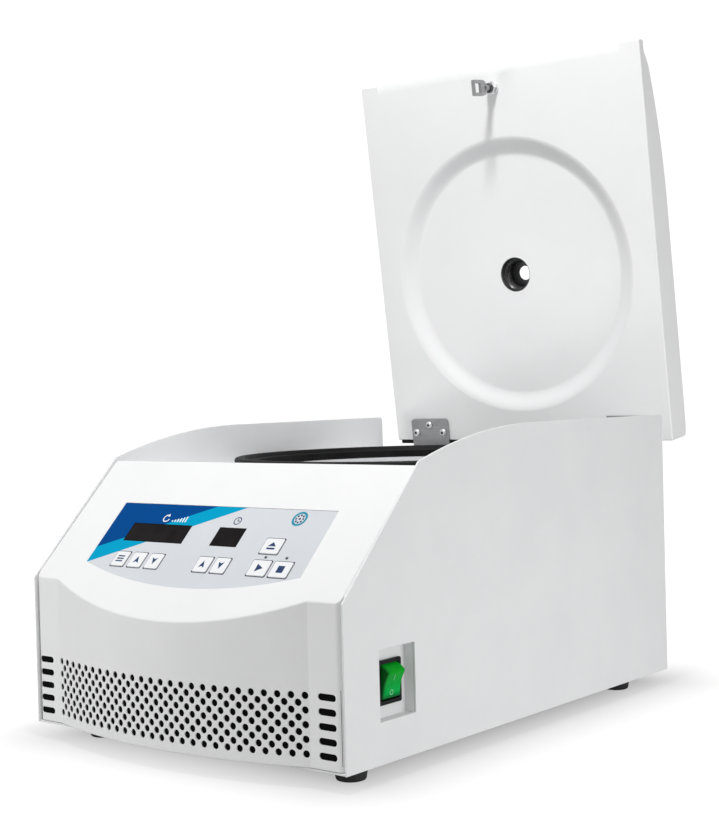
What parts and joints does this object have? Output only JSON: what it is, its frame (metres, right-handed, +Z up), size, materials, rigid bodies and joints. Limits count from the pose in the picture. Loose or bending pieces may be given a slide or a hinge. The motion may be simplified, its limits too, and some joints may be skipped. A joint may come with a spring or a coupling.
{
  "type": "clinical centrifuge",
  "caption": "Bench-top centrifuge with a hinged lid held open over a round chamber with a fixed-angle rotor, a sloping keypad, a vented bulging front and a side power rocker.",
  "frame": {"origin": "middle of the bounding box's base, on the bench under the feet, with the lid open", "axes": "+Z up; -Y towards the front with the keypad; +X towards the right side with the power switch"},
  "size_m": [0.31, 0.5102, 0.5566],
  "materials": {
    "white_sheet": "fine-textured off-white powder coat",
    "white_moulding": "semi-gloss off-white moulding",
    "bowl": "satin stainless steel",
    "rubber": "matt black rubber",
    "black": "satin black plastic",
    "zinc": "zinc-plated steel",
    "dark": "dark grey painted metal",
    "alu": "anodised aluminium",
    "label": "matt printed film, pale grey, navy and teal",
    "key": "white silicone key with a plain printed sign",
    "window": "smoked window",
    "rocker": "translucent green plastic",
    "board": "green circuit board",
    "lens": "clear lens"
  },
  "bodies": {
    "base": {"base_plate": "white_sheet", "chamber_bowl": "bowl", "control_board": "board", "drive_board": "board", "foot_front_left": "rubber", "foot_front_right": "rubber", "foot_rear_left": "rubber", "foot_rear_right": "rubber", "front_panel": "white_moulding", "hinge_base_left": "zinc", "hinge_base_right": "zinc", "hinge_pin_left": "zinc", "hinge_pin_right": "zinc", "keypad_overlay": "label", "left_side_panel": "white_sheet", "lid_gasket": "rubber", "lock_housing": "black", "motor": "dark", "motor_mount_plate": "zinc", "power_inlet": "black", "rear_panel": "white_sheet", "right_side_panel": "white_sheet", "shaft_boot": "rubber", "speed_window": "window", "switch_housing": "black", "switch_pocket": "white_sheet", "time_window": "window", "top_deck": "white_moulding", "vibration_mount_front_left": "rubber", "vibration_mount_front_right": "rubber", "vibration_mount_rear_left": "rubber", "vibration_mount_rear_right": "rubber"},
    "lid": {"bracket_screw_left_1": "zinc", "bracket_screw_left_2": "zinc", "bracket_screw_left_3": "zinc", "bracket_screw_right_1": "zinc", "bracket_screw_right_2": "zinc", "bracket_screw_right_3": "zinc", "lid_bracket_left": "zinc", "lid_bracket_right": "zinc", "lid_cover": "white_moulding", "lid_liner": "white_moulding", "striker": "zinc", "striker_nut": "zinc", "striker_washer": "zinc", "viewport_bush": "black", "viewport_lens": "lens"},
    "rotor": {"drive_shaft": "zinc", "rotor": "alu", "rotor_nut": "dark"},
    "rocker": {"rocker": "rocker"},
    "lock_bolt": {"lock_bolt": "zinc"},
    "key_select": {"key_select": "key"},
    "key_speed_up": {"key_speed_up": "key"},
    "key_speed_down": {"key_speed_down": "key"},
    "key_time_up": {"key_time_up": "key"},
    "key_time_down": {"key_time_down": "key"},
    "key_open": {"key_open": "key"},
    "key_start": {"key_start": "key"},
    "key_stop": {"key_stop": "key"}
  },
  "joints": [
    {"name": "lid_hinge", "type": "hinge", "parent": "base", "child": "lid", "pos_m": [0, 0.21641, 0.1937], "axis": [1, 0, 0], "range_deg": [0, 82.5]},
    {"name": "rotor_spin", "type": "hinge", "parent": "base", "child": "rotor", "pos_m": [0, 0.04591, 0.112], "axis": [0, 0, 1], "continuous": true},
    {"name": "power_rocker", "type": "hinge", "parent": "base", "child": "rocker", "pos_m": [0.1435, -0.17779, 0.0644], "axis": [0, -1, 0], "range_deg": [0, 32]},
    {"name": "lock_bolt_slide", "type": "slide", "parent": "base", "child": "lock_bolt", "axis": [-1, 0, 0], "range_m": [0, 0.01], "stiffness_N_per_m": 200},
    {"name": "key_select_press", "type": "slide", "parent": "base", "child": "key_select", "axis": [0, 0.7017, -0.7124], "range_m": [0, 0.0005], "stiffness_N_per_m": 600},
    {"name": "key_speed_up_press", "type": "slide", "parent": "base", "child": "key_speed_up", "axis": [0, 0.7017, -0.7124], "range_m": [0, 0.0005], "stiffness_N_per_m": 600},
    {"name": "key_speed_down_press", "type": "slide", "parent": "base", "child": "key_speed_down", "axis": [0, 0.7017, -0.7124], "range_m": [0, 0.0005], "stiffness_N_per_m": 600},
    {"name": "key_time_up_press", "type": "slide", "parent": "base", "child": "key_time_up", "axis": [0, 0.7017, -0.7124], "range_m": [0, 0.0005], "stiffness_N_per_m": 600},
    {"name": "key_time_down_press", "type": "slide", "parent": "base", "child": "key_time_down", "axis": [0, 0.7017, -0.7124], "range_m": [0, 0.0005], "stiffness_N_per_m": 600},
    {"name": "key_open_press", "type": "slide", "parent": "base", "child": "key_open", "axis": [0, 0.7017, -0.7124], "range_m": [0, 0.0005], "stiffness_N_per_m": 600},
    {"name": "key_start_press", "type": "slide", "parent": "base", "child": "key_start", "axis": [0, 0.7017, -0.7124], "range_m": [0, 0.0005], "stiffness_N_per_m": 600},
    {"name": "key_stop_press", "type": "slide", "parent": "base", "child": "key_stop", "axis": [0, 0.7017, -0.7124], "range_m": [0, 0.0005], "stiffness_N_per_m": 600}
  ]
}
